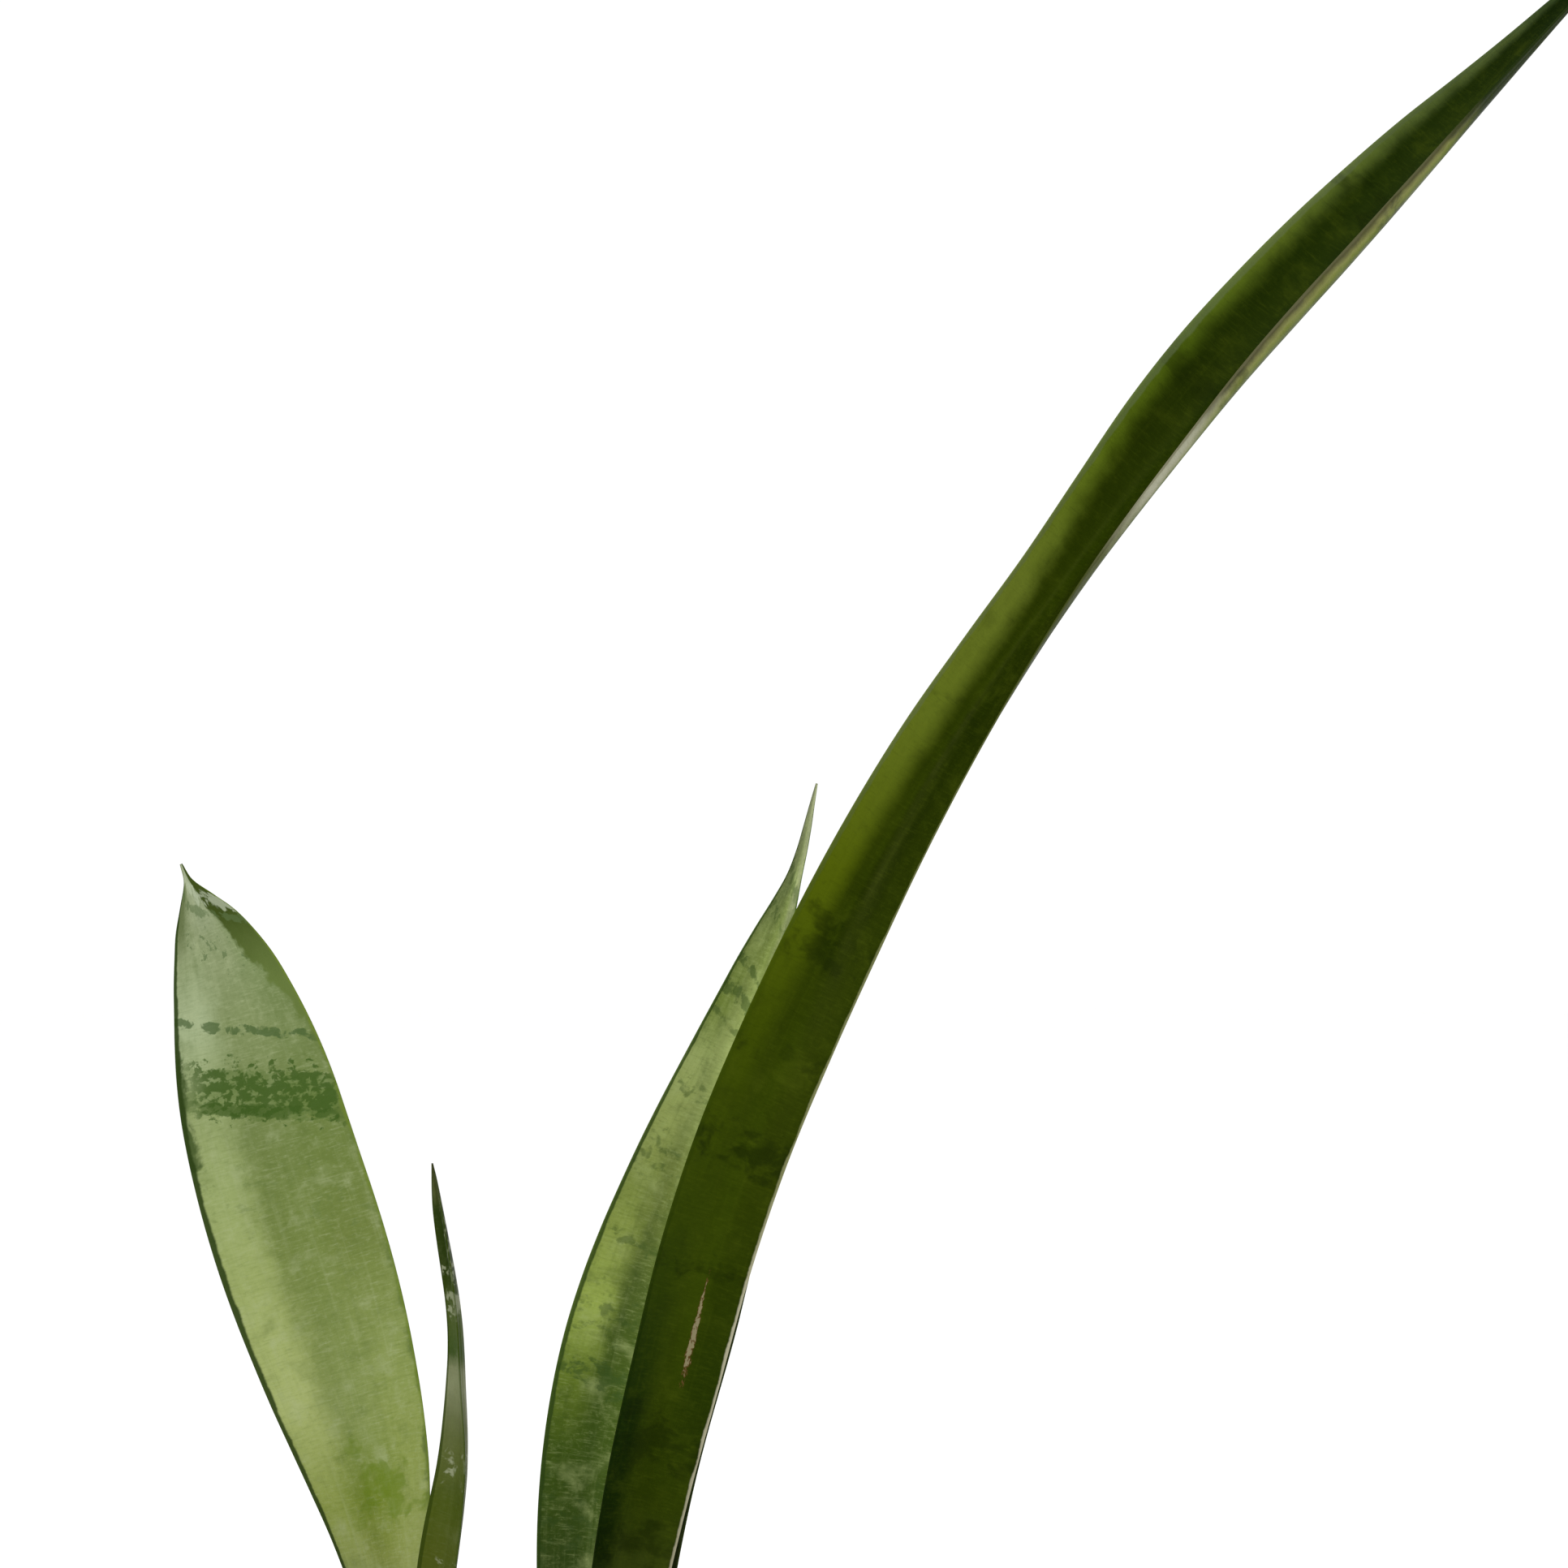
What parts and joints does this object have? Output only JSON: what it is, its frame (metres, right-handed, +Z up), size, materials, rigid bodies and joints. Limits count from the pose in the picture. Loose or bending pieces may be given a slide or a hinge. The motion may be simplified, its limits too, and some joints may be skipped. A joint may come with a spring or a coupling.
{
  "type": "potted snake plant",
  "caption": "Snake plant rooted in soil in a plain clay pot, with stiff sword-shaped leaves, the tallest of which arches over to one side.",
  "frame": {"origin": "centre of the pot's flat underside, on the surface that the pot stands on", "axes": "+Z up out of the pot, +X towards the side that the tall leaf arches over, -Y towards the front of the plant"},
  "size_m": [0.5584, 0.168, 0.8264],
  "materials": {
    "terracotta": "unglazed fired clay, matt, with pale mineral bloom",
    "potting_soil": "damp dark potting mix, rough and crumbly",
    "rhizome_skin": "smooth orange-brown skin ringed with leaf scars",
    "dark_olive_leaf": "waxy satin, dark olive with a lighter left flank",
    "silver_banded_leaf": "waxy satin, pale sage turning yellow-green, with mottled dark cross-bands",
    "mottled_young_leaf": "waxy satin, mid green with pale grey blotches",
    "yellow_green_leaf": "waxy satin, pale green with a yellow-green flank and faint cross-bands",
    "shaded_green_leaf": "waxy satin, very dark green"
  },
  "bodies": {
    "root": {"pot": "terracotta", "soil": "potting_soil", "rhizome": "rhizome_skin", "leaf_tall_arching": "dark_olive_leaf", "leaf_broad_pale": "silver_banded_leaf", "leaf_small_twisted": "mottled_young_leaf", "leaf_medium_pale": "yellow_green_leaf", "leaf_dark_behind": "shaded_green_leaf"}
  },
  "joints": []
}
